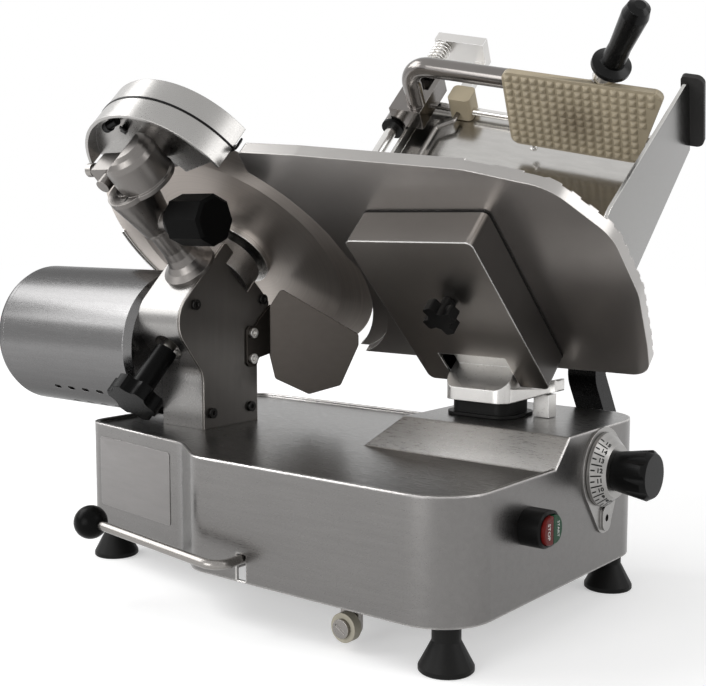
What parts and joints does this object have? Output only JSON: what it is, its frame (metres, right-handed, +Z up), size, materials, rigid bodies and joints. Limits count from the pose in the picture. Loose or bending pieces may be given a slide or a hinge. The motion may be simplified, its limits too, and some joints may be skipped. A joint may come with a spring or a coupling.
{
  "type": "food slicer",
  "caption": "Gravity-feed food slicer with a tilted round knife, sliding food carriage with studded pusher, gauge plate, top sharpener and motor.",
  "frame": {"origin": "centre of the bounding box on the table, in the plane of the foot soles", "axes": "+Z up, +X along the carriage travel towards the control face, +Y towards the food side"},
  "size_m": [0.6592, 0.4797, 0.5265],
  "materials": {
    "stainless": "brushed",
    "cast_aluminium": "satin",
    "dark_plate": "satin",
    "knife_steel": "ground and polished",
    "steel": "polished",
    "bronze": "machined",
    "black_plastic": "satin",
    "black_rubber": "matte",
    "arm_black": "satin",
    "guard_grey": "matte",
    "nylon_cream": "satin",
    "red_button": "gloss",
    "green_button": "gloss",
    "stone_grey": "abrasive grit"
  },
  "bodies": {
    "base": {"base_housing": "stainless", "base_floor": "stainless", "feet": "black_rubber", "foot_bolts": "steel", "post_housing": "cast_aluminium", "post_side_plate": "dark_plate", "post_screws": "steel", "motor_shell": "cast_aluminium", "motor_end_cap": "cast_aluminium", "motor_stator": "cast_aluminium", "bearings": "steel", "knife_cover": "stainless", "ring_guard": "cast_aluminium", "sharpener_arm": "cast_aluminium", "slice_deflector": "stainless", "slide_rails": "steel", "dial_plate": "cast_aluminium", "switch_body": "black_plastic"},
    "knife_set": {"knife": "knife_steel", "knife_shaft": "steel", "knife_screws": "steel", "worm_wheel": "bronze"},
    "rotor": {"motor_rotor": "steel"},
    "cover_knob": {"cover_knob": "black_plastic"},
    "sharpener": {"sharpener_body": "cast_aluminium", "sharpener_cap_rear": "cast_aluminium", "sharpener_cap_front": "cast_aluminium", "sharpener_stones": "stone_grey"},
    "sharpener_clamp": {"sharpener_knob": "black_plastic"},
    "sharpener_plunger": {"sharpener_pin": "steel"},
    "gauge": {"gauge_plate": "cast_aluminium", "gauge_box": "cast_aluminium", "gauge_block": "cast_aluminium", "gauge_bellows": "black_rubber", "gauge_slider": "cast_aluminium"},
    "gauge_star": {"gauge_star_knob": "black_plastic"},
    "index": {"index_shaft": "steel", "index_dial": "cast_aluminium", "index_knob": "black_plastic"},
    "stop": {"stop_button": "red_button"},
    "start": {"start_button": "green_button"},
    "lever": {"lift_lever": "steel", "lever_ball": "black_plastic", "roller_screw": "steel"},
    "roller": {"lift_roller": "nylon_cream"},
    "carriage": {"carriage_bearing": "bronze", "carriage_arm": "arm_black", "carriage_tray": "stainless", "corner_guard": "guard_grey", "pusher_rod": "steel", "pusher_bracket": "cast_aluminium", "fence_rod": "steel", "pusher_spring": "steel"},
    "pusher_slide": {"pusher_bush": "black_plastic"},
    "pusher": {"pusher_arm": "steel", "pusher_ferrule": "steel", "pusher_handle": "black_plastic", "pusher_plate": "nylon_cream"},
    "fence": {"fence_block": "nylon_cream", "fence_wire": "steel"}
  },
  "joints": [
    {"name": "carriage_travel", "type": "slide", "parent": "base", "child": "carriage", "axis": [1, 0, 0], "range_m": [-0.28, 0.01]},
    {"name": "motor_spin", "type": "hinge", "parent": "base", "child": "rotor", "pos_m": [-0.0983, -0.06918, 0.20595], "axis": [1, 0, 0], "continuous": true},
    {"name": "knife_spin", "type": "hinge", "parent": "base", "child": "knife_set", "pos_m": [-0.0983, -0.0211, 0.3], "axis": [0, -0.7071, -0.7071], "continuous": true},
    {"name": "cover_knob_turn", "type": "hinge", "parent": "base", "child": "cover_knob", "pos_m": [-0.0983, -0.15545, 0.16565], "axis": [0, -0.7071, -0.7071], "range_deg": [-180, 180]},
    {"name": "sharpener_lift", "type": "slide", "parent": "base", "child": "sharpener", "axis": [0, -0.7071, 0.7071], "range_m": [0, 0.025]},
    {"name": "sharpener_knob_turn", "type": "hinge", "parent": "sharpener", "child": "sharpener_clamp", "pos_m": [-0.0363, -0.13282, 0.32687], "axis": [1, 0, 0], "range_deg": [-180, 180]},
    {"name": "sharpener_pin_press", "type": "slide", "parent": "sharpener", "child": "sharpener_plunger", "axis": [1, 0, 0], "range_m": [0, 0.004], "stiffness_N_per_m": 400, "springref_m": -0.002},
    {"name": "gauge_shift", "type": "slide", "parent": "base", "child": "gauge", "axis": [0, 1, 0], "range_m": [-0.006, 0.01]},
    {"name": "gauge_star_turn", "type": "hinge", "parent": "gauge", "child": "gauge_star", "pos_m": [0.1817, -0.0706, 0.2505], "axis": [0, -0.7071, -0.7071], "range_deg": [-180, 180]},
    {"name": "index_turn", "type": "hinge", "parent": "base", "child": "index", "pos_m": [0.3084, 0.0188, 0.121], "axis": [1, 0, 0], "range_deg": [-112.6, 187.6]},
    {"name": "stop_press", "type": "slide", "parent": "base", "child": "stop", "axis": [-1, 0, 0], "range_m": [0, 0.0025], "stiffness_N_per_m": 500, "springref_m": -0.002},
    {"name": "start_press", "type": "slide", "parent": "base", "child": "start", "axis": [-1, 0, 0], "range_m": [0, 0.0025], "stiffness_N_per_m": 500, "springref_m": -0.002},
    {"name": "lift_lever_press", "type": "hinge", "parent": "base", "child": "lever", "pos_m": [0.2264, -0.1772, 0.055], "axis": [0, -1, 0], "range_deg": [0, 5]},
    {"name": "roller_spin", "type": "hinge", "parent": "lever", "child": "roller", "pos_m": [0.1724, -0.1862, 0.0175], "axis": [0, 1, 0], "continuous": true},
    {"name": "pusher_travel", "type": "slide", "parent": "carriage", "child": "pusher_slide", "axis": [0, 0.7071, 0.7071], "range_m": [-0.146, 0.028]},
    {"name": "pusher_swing", "type": "hinge", "parent": "pusher_slide", "child": "pusher", "pos_m": [-0.00878, 0.13421, 0.43602], "axis": [0, -0.7071, -0.7071], "range_deg": [0, 95]},
    {"name": "fence_travel", "type": "slide", "parent": "carriage", "child": "fence", "axis": [0.9659, 0.183, -0.183], "range_m": [-0.008, 0.18]}
  ],
  "couplings": [
    {"joint": "knife_spin", "follows": "motor_spin", "ratio": 0.035714},
    {"joint": "index_turn", "follows": "gauge_shift", "rad_per_m": 327.25}
  ]
}
